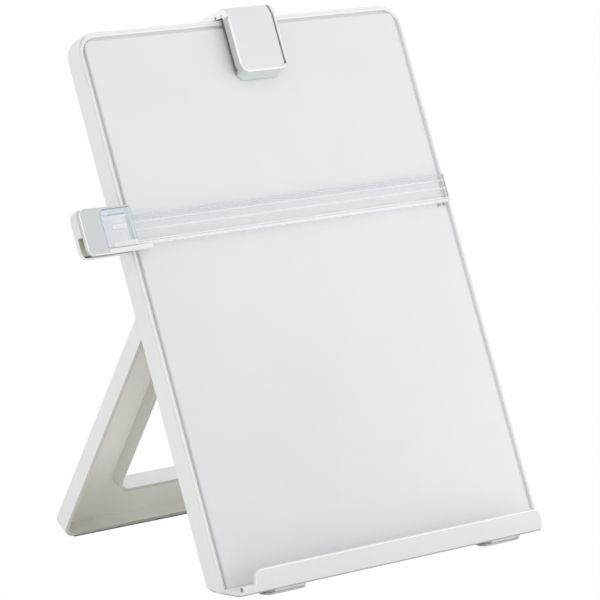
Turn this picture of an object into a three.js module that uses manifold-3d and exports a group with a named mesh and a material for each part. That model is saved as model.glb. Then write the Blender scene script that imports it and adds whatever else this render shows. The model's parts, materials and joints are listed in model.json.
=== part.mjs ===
// Desktop paper easel: a leaning board with a paper ledge, a folding rear leg, a spring clip at the top
// edge and a clear line guide that slides along the left edge.
// Millimetres, +Z up, the front faces -Y and X runs to the right as seen from the front.
import * as THREE from 'three';
import { mergeVertices } from 'three/addons/utils/BufferGeometryUtils.js';
import Module from 'manifold-3d';

const wasm = await Module();
wasm.setup();

// ---- driving dimensions ----
const LEAN = THREE.MathUtils.degToRad(24.3); // the board leans back from vertical
const LEG_TILT = THREE.MathUtils.degToRad(31.2); // the open leg leans forward from vertical
const BOARD_W = 236;
const BOARD_H = 322;
const BOARD_T = 13.7;
const BOARD_CORNER = 13;
const FACE_FOOT_Z = 5.2; // height of the face plane's lower end above the table
const RIM = 2.1; // width of the raised rim round the face
const GROOVE = 1.8; // width of the groove between rim and face panel
const PANEL_T = 1.5;
const WEB_FRONT = 1.8;
const WEB_BACK = 3;
const WALL = 3;
const GAP = 0.3; // clearance between touching pieces

const LEDGE_FRONT = 15.3; // how far the ledge stands in front of the face's lower end
const LEDGE_T = 2.2;
const LEDGE_SLOPE = 0.1; // the ledge rises slightly to the front
const LEDGE_FRONT_Z = 5;
const LEDGE_REAR_Y = 2.6;
const LIP_HALF = 106;
const LIP_T = 2.4;
const LIP_TOP = 17.6;
const CURB_LEFT = -116;
const CURB_TOP = 9.7;

const FOOT_Y = -5.4;
const FOOT_R = 5.4;
const FOOT_INNER = 69.8;
const FOOT_OUTER = 90.5;
const PAD_T = 1.6;

const LEG_HALF = 114.4;
const LEG_DEPTH = 10.3;
const LEG_WALL = 2.4;
const LEG_FOOT_Y = 157.5; // where the open leg's front lower edge meets the table
const LEG_CORNER = 9;
const STRIP_T = 0.8;
const WINDOW_HALF = 84.5;
const WINDOW_LOW = 33;
const WINDOW_HIGH = 128;
const PIN_DEPTH = 4.5; // hinge axis below the back face
const PIN_R = 1.5;
const RUN = 0.08; // radial clearance of a running fit

const CLIP_HALF = 16;
const CLIP_RIGHT = 18.4; // the jaw is a little wider to the right
const CLIP_FRONT = 9;
const CLIP_BACK = 18.6;
const CLIP_LOW = 287.8;
const CLIP_TIP = 284.6; // the jaw's tip on the face
const CLIP_SKIN = 2;
const CLIP_PIN = { n: -3, u: 323.9, r: 0.9 };

const CAP = { left: -151.6, low: 193.6, high: 220.6, front: 7, back: 4.5 };
const BLOCK = { left: -138, right: -117 };
const BAR = { low: 196.6, high: 213.8, back: 0.6, front: 3.2, right: 115.6 };
const SLIDER = { back: -3, front: -0.2 };
const GUIDE_PIN = { x: -145.5, n: 1.9, r: 1.25 };

const ROUND = 20; // segments of a small full circle

// ---- colours ----
const SHELL = { color: 0xdfe1e2, roughness: 0.55, metalness: 0 };
const PANEL = { color: 0xe2e4e6, roughness: 0.6, metalness: 0 };
const CLEAR = { color: 0xd9e6f2, roughness: 0.1, metalness: 0, transparent: true, opacity: 0.4 };
const RUBBER = { color: 0x2d322f, roughness: 0.9, metalness: 0 };
const FOOT = { color: 0xcdd6d2, roughness: 0.35, metalness: 0 };
const STEEL = { color: 0xb9bcc0, roughness: 0.3, metalness: 1 };

// ---- frames ----
// In the board's own frame x runs right, y runs back from the face plane and z runs up the board.
const boardMatrix = new THREE.Matrix4().makeRotationX(-LEAN).setPosition(0, 0, FACE_FOOT_Z);
const boardInverse = boardMatrix.clone().invert();

// In the leg's own frame z runs up the leg from its lower edge and y runs back from its open front.
const legMatrix = new THREE.Matrix4().makeRotationX(LEG_TILT).setPosition(0, LEG_FOOT_Y, 0);

function boardPoint(y, z) {
  const p = new THREE.Vector3(0, y, z).applyMatrix4(boardInverse);
  return [p.y, p.z];
}

// The leg's back face meets the board's back plane here, as a distance up the leg.
const legMeet = (() => {
  const [y0, z0] = boardPoint(...tablePoint(0));
  const [y1, z1] = boardPoint(...tablePoint(1));
  const s = (BOARD_T - y0) / (y1 - y0);
  return { s, u: z0 + s * (z1 - z0) };
})();

function tablePoint(s) {
  const p = new THREE.Vector3(0, LEG_DEPTH, s).applyMatrix4(legMatrix);
  return [p.y, p.z];
}

const halfTurn = Math.tan((LEAN + LEG_TILT) / 2);
const LEG_PIN = { u: legMeet.u - PIN_DEPTH * halfTurn, s: legMeet.s + PIN_DEPTH * halfTurn };
const LEG_TAIL = 8.2; // the leg's back panel ends this far above the hinge axis and stops on the web
const RIB_U = LEG_PIN.u + 9.4;
const RIB_T = 2.2;
const KNUCKLE_R = 4.5;
const BOSS_W = 4.4; // the leg's hinge bosses

const LEG_REAR_Y = LEG_FOOT_Y + LEG_DEPTH * Math.cos(LEG_TILT) - STRIP_T * Math.sin(LEG_TILT);
const CENTRE_X = (CAP.left + BOARD_W / 2) / 2;
const CENTRE_Y = (LEG_REAR_Y - LEDGE_FRONT) / 2;

// ---- shapes ----
// A closed outline from corners [a, b, radius], listed anticlockwise.
function outline(corners, steps = 8) {
  const points = [];
  const count = corners.length;
  corners.forEach(([a, b, r = 0], i) => {
    const here = new THREE.Vector2(a, b);
    if (r <= 0) {
      points.push(here);
      return;
    }
    const [pa, pb] = corners[(i + count - 1) % count];
    const [na, nb] = corners[(i + 1) % count];
    const back = new THREE.Vector2(pa, pb).sub(here).normalize();
    const ahead = new THREE.Vector2(na, nb).sub(here).normalize();
    const half = Math.acos(THREE.MathUtils.clamp(back.dot(ahead), -1, 1)) / 2;
    const bisector = back.clone().add(ahead).normalize();
    const centre = here.clone().addScaledVector(bisector, r / Math.sin(half));
    const first = here.clone().addScaledVector(back, r / Math.tan(half)).sub(centre);
    const last = here.clone().addScaledVector(ahead, r / Math.tan(half)).sub(centre);
    const start = Math.atan2(first.y, first.x);
    let sweep = Math.atan2(last.y, last.x) - start;
    if (sweep > Math.PI) sweep -= 2 * Math.PI;
    if (sweep < -Math.PI) sweep += 2 * Math.PI;
    for (let k = 0; k <= steps; k += 1) {
      const angle = start + (sweep * k) / steps;
      points.push(new THREE.Vector2(centre.x + r * Math.cos(angle), centre.y + r * Math.sin(angle)));
    }
  });
  return new THREE.Shape(points);
}

function rectangle(a0, b0, a1, b1, r = 0) {
  return outline([[a0, b0, r], [a1, b0, r], [a1, b1, r], [a0, b1, r]]);
}

function extrude(shape, depth) {
  return new THREE.ExtrudeGeometry(shape, { depth, bevelEnabled: false, curveSegments: 12 });
}

const xBasis = new THREE.Matrix4().makeBasis(
  new THREE.Vector3(0, 1, 0),
  new THREE.Vector3(0, 0, 1),
  new THREE.Vector3(1, 0, 0),
);

// Outline in (y, z), from x0 to x1.
function alongX(shape, x0, x1) {
  return solid(extrude(shape, x1 - x0).applyMatrix4(xBasis).translate(x0, 0, 0));
}

// Outline in (x, z), from y0 to y1.
function alongY(shape, y0, y1) {
  return solid(extrude(shape, y1 - y0).rotateX(Math.PI / 2).translate(0, y1, 0));
}

// Outline in (x, y), from z0 to z1.
function alongZ(shape, z0, z1) {
  return solid(extrude(shape, z1 - z0).translate(0, 0, z0));
}

function box(x0, y0, z0, x1, y1, z1) {
  return alongZ(rectangle(x0, y0, x1, y1), z0, z1);
}

function rod(radius, length, segments = ROUND) {
  return new THREE.CylinderGeometry(radius, radius, length, segments);
}

function rodX(x0, x1, y, z, radius, segments) {
  return solid(rod(radius, x1 - x0, segments).rotateZ(-Math.PI / 2).translate((x0 + x1) / 2, y, z));
}

function rodY(y0, y1, x, z, radius, segments) {
  return solid(rod(radius, y1 - y0, segments).translate(x, (y0 + y1) / 2, z));
}

function rodZ(z0, z1, x, y, radius, segments) {
  return solid(rod(radius, z1 - z0, segments).rotateX(Math.PI / 2).translate(x, y, (z0 + z1) / 2));
}

function solid(geometry) {
  const bare = geometry.clone();
  bare.deleteAttribute('normal');
  bare.deleteAttribute('uv');
  const merged = mergeVertices(bare, 1e-4);
  const vertProperties = new Float32Array(merged.attributes.position.array);
  const triVerts = new Uint32Array(merged.index.array);
  return new wasm.Manifold(new wasm.Mesh({ numProp: 3, vertProperties, triVerts }));
}

function surface(manifold) {
  const { vertProperties, triVerts } = manifold.getMesh();
  const geometry = new THREE.BufferGeometry();
  geometry.setAttribute('position', new THREE.BufferAttribute(vertProperties, 3));
  geometry.setIndex(new THREE.BufferAttribute(triVerts, 1));
  geometry.computeVertexNormals();
  return geometry;
}

function part(name, look, manifold) {
  const mesh = new THREE.Mesh(surface(manifold), new THREE.MeshStandardMaterial(look));
  mesh.name = name;
  return mesh;
}

// Pan-head screw: its head's bearing face is at the origin and its shank runs to -Z.
function screwGeometry(headR, headH, shankR, length) {
  const profile = [
    [0, -length],
    [shankR * 0.5, -length],
    [shankR, -length + shankR],
    [shankR, 0],
    [headR, 0],
    [headR, headH * 0.55],
    [headR * 0.72, headH],
    [0, headH],
  ].map(([r, y]) => new THREE.Vector2(r, y));
  return new THREE.LatheGeometry(profile, 16).rotateX(Math.PI / 2);
}

function screw(name, size, place) {
  const geometry = screwGeometry(size.headR, size.headH, size.shankR, size.length);
  return part(name, STEEL, solid(geometry.applyMatrix4(place)));
}

const COVER_SCREW = { headR: 2.7, headH: 1.3, shankR: 1.3, length: 7 };
const SMALL_SCREW = { headR: 1.7, headH: 0.9, shankR: 0.8, length: 4.6 };
const TINY_SCREW = { headR: 1.5, headH: 0.7, shankR: 0.7, length: 2.6 };

// ---- the lower plane that the ledge lies on ----
// Height of the ledge's underside at a distance y from the face's lower end.
function undersideZ(y) {
  return LEDGE_FRONT_Z - LEDGE_SLOPE * (y + LEDGE_FRONT);
}

function boardLine(offset) {
  const [y0, z0] = boardPoint(-40, undersideZ(-40) + offset);
  const [y1, z1] = boardPoint(40, undersideZ(40) + offset);
  return (y) => z0 + ((y - y0) * (z1 - z0)) / (y1 - y0);
}

// Side view of everything that may stand above an offset from the ledge's underside, in the board frame.
function sideLimit(offset, cornerR) {
  const lower = boardLine(offset);
  const front = -40;
  return outline([
    [front, lower(front)],
    [BOARD_T, lower(BOARD_T), cornerR],
    [BOARD_T, BOARD_H + 10],
    [front, BOARD_H + 10],
  ]);
}

function boardOutline(inset) {
  const half = BOARD_W / 2 - inset;
  const r = BOARD_CORNER - inset;
  return outline([[-half, -40], [half, -40], [half, BOARD_H - inset, r], [-half, BOARD_H - inset, r]]);
}

const COVER_SCREWS = [[-98, 182], [98, 182], [-98, 300], [98, 300]];
const COVER_T = 1.6;
const LEDGE_SCREWS = [-60, 60];
const BOSS_R = 3.4;

// ---- board ----
function boardFrame() {
  const inner = BOARD_W / 2 - WALL;
  let frame = alongY(boardOutline(0), 0, BOARD_T);
  frame = frame.subtract(alongY(boardOutline(RIM), -1, WEB_FRONT));
  frame = frame.subtract(alongY(boardOutline(WALL), WEB_BACK, BOARD_T + 1));
  const rib = rectangle(-inner - 0.5, RIB_U, inner + 0.5, RIB_U + RIB_T);
  frame = frame.add(alongY(rib, WEB_BACK - 0.3, BOARD_T - COVER_T - GAP));
  for (const [x, z] of COVER_SCREWS) {
    frame = frame.add(rodY(WEB_BACK - 0.3, BOARD_T - COVER_T - GAP, x, z, BOSS_R));
    frame = frame.subtract(rodY(WEB_BACK + 1, BOARD_T, x, z, COVER_SCREW.shankR + 0.15));
  }
  for (const x of LEDGE_SCREWS) {
    frame = frame.add(box(x - 4, WEB_BACK - 0.3, -10, x + 4, 5.6, 12));
  }
  frame = frame.intersect(alongX(sideLimit(LEDGE_T + GAP, 4.5), -BOARD_W, BOARD_W));
  for (const side of [-1, 1]) {
    const x0 = side * (inner - 0.5);
    const x1 = side * (inner + 2.2);
    const y = BOARD_T - PIN_DEPTH;
    frame = frame.subtract(rodX(Math.min(x0, x1), Math.max(x0, x1), y, LEG_PIN.u, PIN_R + RUN));
  }
  const hole = CLIP_BRACKET.screwHole;
  for (const x of CLIP_BRACKET.screws) {
    frame = frame.subtract(rodZ(BOARD_H - 6, BOARD_H + 1, x, CLIP_BRACKET.screwY, hole));
  }
  return part('board_frame', SHELL, frame);
}

function facePanel() {
  let panel = alongY(boardOutline(RIM + GROOVE), 0, PANEL_T);
  panel = panel.intersect(alongX(sideLimit(LEDGE_T + GAP, 0), -BOARD_W, BOARD_W));
  return part('face_panel', PANEL, panel);
}

function rearCover() {
  const half = BOARD_W / 2 - WALL - GAP;
  const r = BOARD_CORNER - WALL - GAP;
  const low = RIB_U;
  const high = BOARD_H - WALL - GAP;
  let cover = alongY(outline([[-half, low], [half, low], [half, high, r], [-half, high, r]]),
    BOARD_T - COVER_T, BOARD_T);
  const bayHalf = 46;
  for (const [x, z] of COVER_SCREWS) {
    cover = cover.subtract(rodY(BOARD_T - 3, BOARD_T + 1, x, z, COVER_SCREW.shankR + 0.15));
  }
  cover = cover.subtract(alongY(rectangle(-bayHalf, 236, bayHalf, 238), BOARD_T - 0.6, BOARD_T + 1));
  cover = cover.subtract(alongY(rectangle(-bayHalf, 246, bayHalf, 248), BOARD_T - 0.6, BOARD_T + 1));
  return part('rear_cover', SHELL, cover);
}

// Vertical-sided pieces of the base are made in the table's frame and then brought into the board's.
function inBoard(manifold) {
  return manifold.transform(boardInverse.elements);
}

function ledge() {
  const half = BOARD_W / 2;
  const arm = half - WALL + GAP;
  const rear = 20;
  const plan = outline([
    [-half, -LEDGE_FRONT, 2], [LIP_HALF, -LEDGE_FRONT, 3], [half, -1.6, 4], [half, rear],
    [arm, rear], [arm, LEDGE_REAR_Y], [-arm, LEDGE_REAR_Y], [-arm, rear], [-half, rear],
  ]);
  const low = undersideZ(-30);
  const high = undersideZ(30);
  const plate = outline([[-30, low], [30, high], [30, high + LEDGE_T], [-30, low + LEDGE_T]]);
  let body = alongX(plate, -half - 1, half + 1).intersect(alongZ(plan, -10, 40));
  const lipBack = -LEDGE_FRONT + LIP_T;
  const lip = outline([
    [-LIP_HALF, 5.4], [LIP_HALF, 5.4, 1.5], [LIP_HALF, LIP_TOP, 5], [-LIP_HALF, LIP_TOP, 5],
  ]);
  body = body.add(alongY(lip, -LEDGE_FRONT, lipBack));
  body = body.add(box(CURB_LEFT, -LEDGE_FRONT, 5.4, -LIP_HALF + 8, lipBack, CURB_TOP));
  for (const x of LEDGE_SCREWS) {
    body = body.subtract(rodZ(-5, 12, x, LEDGE_SCREW_Y, SMALL_SCREW.shankR + 0.15));
  }
  const limited = inBoard(body).intersect(alongX(sideLimit(0, 6), -BOARD_W, BOARD_W));
  return part('ledge', SHELL, limited);
}

const LEDGE_SCREW_Y = 1.2;

function ledgeScrew(name, x) {
  const place = new THREE.Matrix4().makeRotationX(Math.PI - Math.atan(LEDGE_SLOPE));
  place.setPosition(x, LEDGE_SCREW_Y, undersideZ(LEDGE_SCREW_Y) - 0.1);
  return screw(name, { ...SMALL_SCREW, length: 2 }, boardInverse.clone().multiply(place));
}

function footOutline(side, radius) {
  const a = side * FOOT_INNER;
  const b = side * FOOT_OUTER;
  const x0 = Math.min(a, b) - radius;
  const x1 = Math.max(a, b) + radius;
  return rectangle(x0, FOOT_Y - radius, x1, FOOT_Y + radius, radius - 0.01);
}

function footBase(name, side) {
  const top = outline([[-30, -5], [30, -5], [30, undersideZ(30) - GAP], [-30, undersideZ(-30) - GAP]]);
  const column = alongZ(footOutline(side, FOOT_R), PAD_T, 10);
  return part(name, FOOT, inBoard(column.intersect(alongX(top, -BOARD_W, BOARD_W))));
}

function footPad(name, side) {
  return part(name, RUBBER, inBoard(alongZ(footOutline(side, FOOT_R - 0.5), 0, PAD_T - GAP)));
}

function hingePin(name, side) {
  const inner = BOARD_W / 2 - WALL;
  const x0 = side * (inner - 7);
  const x1 = side * (inner + 2);
  const y = BOARD_T - PIN_DEPTH;
  return part(name, STEEL, rodX(Math.min(x0, x1), Math.max(x0, x1), y, LEG_PIN.u, PIN_R));
}

function coverScrew(name, x, z) {
  const place = new THREE.Matrix4().makeRotationX(-Math.PI / 2).setPosition(x, BOARD_T + 0.1, z);
  return screw(name, COVER_SCREW, place);
}

// ---- clip bracket on the board's top edge ----
const CLIP_BRACKET = { screws: [-7, 7], screwY: 9.2, screwHole: 0.95, half: 12, base: 0.9 };

function clipBracket() {
  const { half, base, screws, screwY } = CLIP_BRACKET;
  const low = BOARD_H + GAP;
  let bracket = box(-half, 0.4, low, half, 11.8, low + base);
  bracket = bracket.subtract(box(-half + 3, -1, low - 1, half - 3, 6.2, low + 3));
  for (const side of [-1, 1]) {
    const x0 = side < 0 ? -half : half - 2;
    const top = CLIP_PIN.u + 1.4;
    const ear = outline([[1.2, low], [4.8, low], [4.8, top, 1.5], [1.2, top, 1.5]]);
    bracket = bracket.add(alongX(ear, x0, x0 + 2));
  }
  bracket = bracket.subtract(rodX(-20, 20, -CLIP_PIN.n, CLIP_PIN.u, CLIP_PIN.r + RUN));
  for (const x of screws) {
    bracket = bracket.subtract(rodZ(low - 1, low + 3, x, screwY, SMALL_SCREW.shankR + 0.12));
  }
  return part('clip_bracket', STEEL, bracket);
}

function clipBracketScrew(name, x) {
  const top = BOARD_H + GAP + CLIP_BRACKET.base;
  const size = { ...SMALL_SCREW, headH: 0.6, length: 4 };
  const place = new THREE.Matrix4().setPosition(x, CLIP_BRACKET.screwY, top + 0.1);
  return screw(name, size, place);
}

function clipPin() {
  const reach = CLIP_HALF - 0.6;
  return part('clip_pin', STEEL, rodX(-reach, reach, -CLIP_PIN.n, CLIP_PIN.u, CLIP_PIN.r));
}

// A closed coil of round wire about the X axis, with a straight tail at each end.
function coil(turns, meanR, wireR, pitch, tail) {
  const perTurn = 14;
  const total = turns * perTurn;
  const points = [];
  const length = turns * pitch;
  points.push(new THREE.Vector3(-length / 2, tail, meanR));
  for (let i = 0; i <= total; i += 1) {
    const angle = (2 * Math.PI * i) / perTurn;
    const x = -length / 2 + (length * i) / total;
    points.push(new THREE.Vector3(x, -meanR * Math.sin(angle), meanR * Math.cos(angle)));
  }
  points.push(new THREE.Vector3(length / 2, -tail, meanR));
  const path = new THREE.CatmullRomCurve3(points);
  const section = new THREE.Shape();
  section.absarc(0, 0, wireR, 0, 2 * Math.PI, false);
  const steps = total + 8;
  return new THREE.ExtrudeGeometry(section, { extrudePath: path, steps, curveSegments: 3 });
}

function clipSpring() {
  const wire = coil(6, 1.2, 0.22, 0.9, 1.8).rotateX(Math.PI);
  return part('clip_spring', STEEL, solid(wire.translate(0, -CLIP_PIN.n, CLIP_PIN.u)));
}

// ---- clip ----
function clipProfile() {
  return outline([
    [-CLIP_FRONT, CLIP_LOW, 1], [-0.5, CLIP_TIP, 0.3], [-0.5, CLIP_TIP + 1.6], [-3, CLIP_LOW + 1],
    [-3, 323], [6, 323], [CLIP_BACK, 326.5, 0.3], [CLIP_BACK, 327.4, 0.3], [-6.6, 327.4, 4],
    [-CLIP_FRONT, 320.5, 6],
  ]);
}

function clipHollow() {
  const skin = CLIP_SKIN;
  return outline([
    [-CLIP_FRONT + skin, CLIP_LOW + skin], [-2, CLIP_LOW + skin], [-2, 322], [30, 322],
    [30, 325.4], [-4.6, 325.6, 3], [-CLIP_FRONT + skin, 320, 4],
  ]);
}

function clipJaw() {
  const front = outline([
    [-CLIP_HALF, CLIP_TIP, 6], [CLIP_RIGHT, CLIP_TIP, 6], [CLIP_RIGHT, 340], [-CLIP_HALF, 340],
  ]);
  let jaw = alongX(clipProfile(), -CLIP_HALF, CLIP_RIGHT).intersect(alongY(front, -20, 30));
  const left = -CLIP_HALF + CLIP_SKIN;
  const right = CLIP_RIGHT - CLIP_SKIN;
  const hollowFront = outline([[left, CLIP_LOW, 5], [right, CLIP_LOW, 5], [right, 340], [left, 340]]);
  const hollow = alongX(clipHollow(), left, right).intersect(alongY(hollowFront, -20, 40));
  jaw = jaw.subtract(hollow);
  jaw = jaw.subtract(box(left, 5.8, 320, right, 12.6, 325));
  const edgeGroove = box(CLIP_HALF - 0.6, -CLIP_FRONT - 1, CLIP_LOW + 2, CLIP_HALF + 0.2, -CLIP_FRONT + 1, 330);
  jaw = jaw.subtract(edgeGroove);
  jaw = jaw.subtract(rodX(-20, 20, -CLIP_PIN.n, CLIP_PIN.u, CLIP_PIN.r + RUN));
  return part('clip_jaw', SHELL, jaw);
}

function clipPad() {
  const depth = CLIP_FRONT - CLIP_SKIN - GAP;
  return part('clip_grip_pad', RUBBER,
    alongX(outline([[-depth, 290], [-GAP, 290, 1], [-GAP, 294.5, 1], [-depth, 294.5]]), -11.5, 11.5));
}

// ---- line guide ----
function guideBody() {
  const { back, front } = SLIDER;
  const right = -BOARD_W / 2 - 0.4;
  const plate = outline([
    [CAP.left, CAP.low, 4.5], [right, CAP.low], [right, CAP.high], [CAP.left, CAP.high, 4.5],
  ]);
  let body = alongY(plate, -front, -back);
  const wall = outline([
    [CAP.left, 205.4], [CAP.left + 3, 205.4], [CAP.left + 3, CAP.high], [CAP.left, CAP.high, 2.9],
  ]);
  body = body.add(alongY(wall, -4.1, -front + 0.5));
  for (const u of [196.2, 214.6]) {
    body = body.add(box(GUIDE_PIN.x - 2.2, -3.9, u, GUIDE_PIN.x + 2.2, 0.5, u + 3));
  }
  const hookLow = 200;
  const hookHigh = 213;
  body = body.add(box(right - 2.6, 0, hookLow, right, BOARD_T + 3, hookHigh));
  body = body.add(box(right - 2.6, BOARD_T + 0.8, hookLow, -BOARD_W / 2 + WALL - 0.1, BOARD_T + 3, hookHigh));
  body = body.subtract(rodZ(190, 225, GUIDE_PIN.x, -GUIDE_PIN.n, GUIDE_PIN.r + RUN));
  return part('guide_slider', SHELL, body);
}

function guideShoe() {
  const shoe = box(-BOARD_W / 2 + 0.2, BOARD_T + 0.1, 201, -BOARD_W / 2 + WALL - 0.2, BOARD_T + 0.6, 212);
  return part('guide_friction_shoe', RUBBER, shoe);
}

function guidePin() {
  return part('guide_pin', STEEL,
    rodZ(195.4, 218.6, GUIDE_PIN.x, -GUIDE_PIN.n, GUIDE_PIN.r));
}

function guideSpring() {
  const wire = coil(4, 1.75, 0.25, 0.8, 2.4).rotateY(Math.PI / 2).rotateZ(Math.PI / 2);
  return part('guide_spring', STEEL, solid(wire.translate(GUIDE_PIN.x, -GUIDE_PIN.n, 206.7)));
}

function guideCap() {
  const rail = BLOCK.right + 9;
  const plate = outline([
    [CAP.left, CAP.low, 4.5], [rail, CAP.low], [rail, CAP.high - 1.4], [CAP.left, CAP.high, 4.5],
  ]);
  let cap = alongY(plate, -CAP.front, -CAP.back);
  const pocket = outline([
    [BLOCK.left, BAR.low - 0.4, 1.5], [rail + 5, BAR.low - 0.4], [rail + 5, CAP.high - 1.8],
    [BLOCK.left, CAP.high - 1.8, 3],
  ]);
  cap = cap.subtract(alongY(pocket, -20, 0));
  const bottomRail = box(BLOCK.right + 2, -CAP.front, CAP.low, rail, -3.6, BAR.low - 0.6);
  cap = cap.add(bottomRail);
  const topRail = box(BLOCK.right, -CAP.front - 1, CAP.high - 3, rail + 1, 0, CAP.high + 1);
  cap = cap.subtract(topRail);
  const tongue = box(BLOCK.left - 3, -CAP.back - 0.4, 206, -121, -3.3, 210);
  cap = cap.add(tongue.subtract(box(BLOCK.left, -CAP.front, 200, -100, -CAP.back + 0.3, 215)));
  for (const [low, high] of [[200.2, 203.6], [209.8, 213.6]]) {
    cap = cap.add(box(GUIDE_PIN.x - 2, -CAP.back - 0.4, low, GUIDE_PIN.x + 2, -0.2, high));
  }
  cap = cap.subtract(rodZ(195, 219, GUIDE_PIN.x, -GUIDE_PIN.n, GUIDE_PIN.r + RUN));
  cap = cap.subtract(rodY(-CAP.back, 0, -126, 208, TINY_SCREW.shankR + 0.12));
  return part('guide_cap', SHELL, cap);
}

function guideBar() {
  const top = CAP.high - 2.1;
  const left = BLOCK.left + 0.3;
  const block = outline([
    [left, BAR.low, 1.2], [BLOCK.right, BAR.low], [BLOCK.right, top], [left, top, 2.7],
  ]);
  let bar = alongY(block, -CAP.front + 0.2, -CAP.back - 0.1);
  bar = bar.add(box(BLOCK.right - 2.2, -CAP.back - 0.5, BAR.low, BLOCK.right, -BAR.back, BAR.high));
  const ridge = (u) => [[-BAR.front, u + 0.7], [-BAR.front - 0.7, u], [-BAR.front, u - 0.7]];
  const section = new THREE.Shape([
    [-BAR.back, BAR.low], [-BAR.back, BAR.high], [-BAR.front - 0.6, BAR.high],
    [-BAR.front - 0.6, BAR.high - 1.2], [-BAR.front, BAR.high - 1.4],
    ...ridge(210.4), ...ridge(205.3), ...ridge(201), [-BAR.front, BAR.low + 1.6],
    [-BAR.front - 0.8, BAR.low + 1.2], [-BAR.front - 0.8, BAR.low],
  ].map(([y, z]) => new THREE.Vector2(y, z)));
  bar = bar.add(alongX(section, BLOCK.right - 0.2, BAR.right));
  bar = bar.add(box(BAR.right - 1.2, -BAR.back - 1, BAR.low + 1, BAR.right, 1.2, BAR.high - 1));
  const endBevel = outline([
    [BAR.right - 1, -6], [BAR.right + 1, -6], [BAR.right + 1, -BAR.back], [BAR.right, -BAR.back],
  ]);
  bar = bar.subtract(alongZ(endBevel, 190, 220));
  bar = bar.subtract(rodY(-CAP.back - 1.8, 0, -126, 208, TINY_SCREW.shankR + 0.12));
  return part('guide_bar', CLEAR, bar);
}

function barScrew() {
  const place = new THREE.Matrix4().makeRotationX(-Math.PI / 2).setPosition(-126, -3.2, 208);
  return screw('guide_bar_screw', TINY_SCREW, place);
}

// ---- leg, in its own frame ----
function legOutline(inset, top) {
  const half = LEG_HALF - inset;
  const low = STRIP_T + inset;
  const r = LEG_CORNER - inset;
  return outline([[-half, low, r], [half, low, r], [half, top], [-half, top]]);
}

function windowOutline(grow) {
  const half = WINDOW_HALF + grow;
  return rectangle(-half, WINDOW_LOW - grow, half, WINDOW_HIGH + grow, 7 + grow);
}

// The leg's frame has its open front at y = 0 and its back face at y = LEG_DEPTH.
function leg() {
  const axisY = LEG_DEPTH - PIN_DEPTH;
  const top = LEG_PIN.s + LEG_TAIL;
  let shell = alongY(legOutline(0, top), 0, LEG_DEPTH);
  let hollow = alongY(legOutline(LEG_WALL, top + 5), -1, LEG_DEPTH - LEG_WALL);
  hollow = hollow.subtract(alongY(windowOutline(LEG_WALL), -2, LEG_DEPTH));
  shell = shell.subtract(hollow);
  shell = shell.subtract(alongY(windowOutline(0), -2, LEG_DEPTH + 2));
  const cut = box(-BOARD_W, -1, LEG_PIN.s, BOARD_W, LEG_DEPTH - LEG_WALL, top + 5);
  const knuckle = rodX(-BOARD_W, BOARD_W, axisY, LEG_PIN.s, KNUCKLE_R, 40);
  shell = shell.subtract(cut.subtract(knuckle));
  for (const side of [-1, 1]) {
    const x0 = side < 0 ? -LEG_HALF : LEG_HALF - BOSS_W;
    const boss = rodX(x0, x0 + BOSS_W, axisY, LEG_PIN.s, 3.6, 32);
    shell = shell.add(boss);
  }
  for (const x of LEG_RIBS) {
    const ribSide = box(x - 0.9, 3.4, WINDOW_HIGH + 1, x + 0.9, LEG_DEPTH - 1, LEG_PIN.s - 8);
    shell = shell.add(ribSide);
  }
  shell = shell.subtract(rodX(-BOARD_W, BOARD_W, axisY, LEG_PIN.s, PIN_R + RUN));
  return part('leg_shell', SHELL, shell);
}

const LEG_RIBS = [-60, -20, 20, 60];

function legStrip() {
  const half = LEG_HALF - LEG_CORNER;
  const strip = box(-half, 0, 0, half, LEG_DEPTH - 3, STRIP_T - GAP);
  return part('leg_grip_strip', RUBBER, strip);
}

// ---- assembly ----
const board = new THREE.Group();
board.applyMatrix4(boardMatrix);
board.add(boardFrame());
board.add(facePanel());
board.add(rearCover());
board.add(ledge());
board.add(footBase('foot_left', -1));
board.add(footBase('foot_right', 1));
board.add(footPad('foot_pad_left', -1));
board.add(footPad('foot_pad_right', 1));
board.add(hingePin('hinge_pin_left', -1));
board.add(hingePin('hinge_pin_right', 1));
COVER_SCREWS.forEach(([x, z], i) => board.add(coverScrew(`cover_screw_${i + 1}`, x, z)));
LEDGE_SCREWS.forEach((x, i) => board.add(ledgeScrew(`ledge_screw_${i + 1}`, x)));
board.add(clipBracket());
CLIP_BRACKET.screws.forEach((x, i) => board.add(clipBracketScrew(`clip_bracket_screw_${i + 1}`, x)));
board.add(clipPin());
board.add(clipSpring());
board.add(clipJaw());
board.add(clipPad());
board.add(guideBody());
board.add(guideShoe());
board.add(guidePin());
board.add(guideSpring());
board.add(guideCap());
board.add(guideBar());
board.add(barScrew());

const legGroup = new THREE.Group();
legGroup.applyMatrix4(legMatrix);
legGroup.add(leg());
legGroup.add(legStrip());

const easel = new THREE.Group();
easel.add(board, legGroup);
easel.position.set(-CENTRE_X, -CENTRE_Y, 0);

export default easel;
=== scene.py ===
import json
import math

import bmesh
import bpy
from mathutils import Matrix, Vector


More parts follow.
